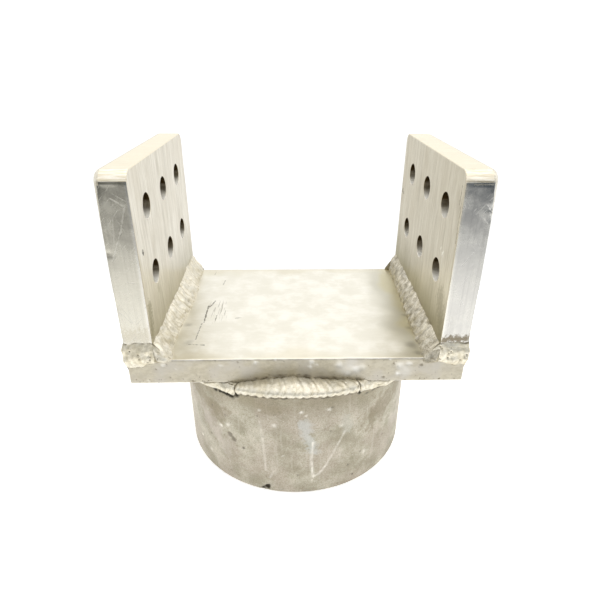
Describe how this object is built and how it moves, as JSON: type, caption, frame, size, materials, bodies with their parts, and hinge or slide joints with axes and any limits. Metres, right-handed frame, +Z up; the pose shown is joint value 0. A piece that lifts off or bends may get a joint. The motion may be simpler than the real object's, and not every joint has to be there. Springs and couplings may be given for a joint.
{
  "type": "post anchor",
  "caption": "Welded aluminium post anchor: a U-shaped saddle of thick flat bar with drilled cheeks, standing on a short round tube that sockets over a ground pile.",
  "frame": {"origin": "centre of the tube's foot, where the tube's axis meets the plane of its lower rim", "axes": "+Z up along the tube's axis towards the saddle; +X across the saddle towards the right cheek; +Y towards the back, along the depth of the flat bar"},
  "size_m": [0.1564, 0.1236, 0.1567],
  "materials": {
    "mill_bar": "mill-finish flat bar, hazy from weld heat",
    "brushed_bar": "flat bar with fine machining lines and bright ground corners",
    "dull_tube": "dull grey as-extruded tube, scuffed and blotched",
    "weld_bead": "as-laid rippled weld bead with soot at its toes"
  },
  "bodies": {
    "root": {"base_plate": "mill_bar", "left_cheek": "brushed_bar", "right_cheek": "brushed_bar", "ground_tube": "dull_tube", "left_inner_fillet_weld": "weld_bead", "right_inner_fillet_weld": "weld_bead", "left_outer_seam_weld": "weld_bead", "right_outer_seam_weld": "weld_bead", "left_front_end_weld": "weld_bead", "right_front_end_weld": "weld_bead", "left_back_end_weld": "weld_bead", "right_back_end_weld": "weld_bead", "front_ring_weld": "weld_bead", "back_ring_weld": "weld_bead", "left_ring_weld": "weld_bead", "right_ring_weld": "weld_bead"}
  },
  "joints": []
}
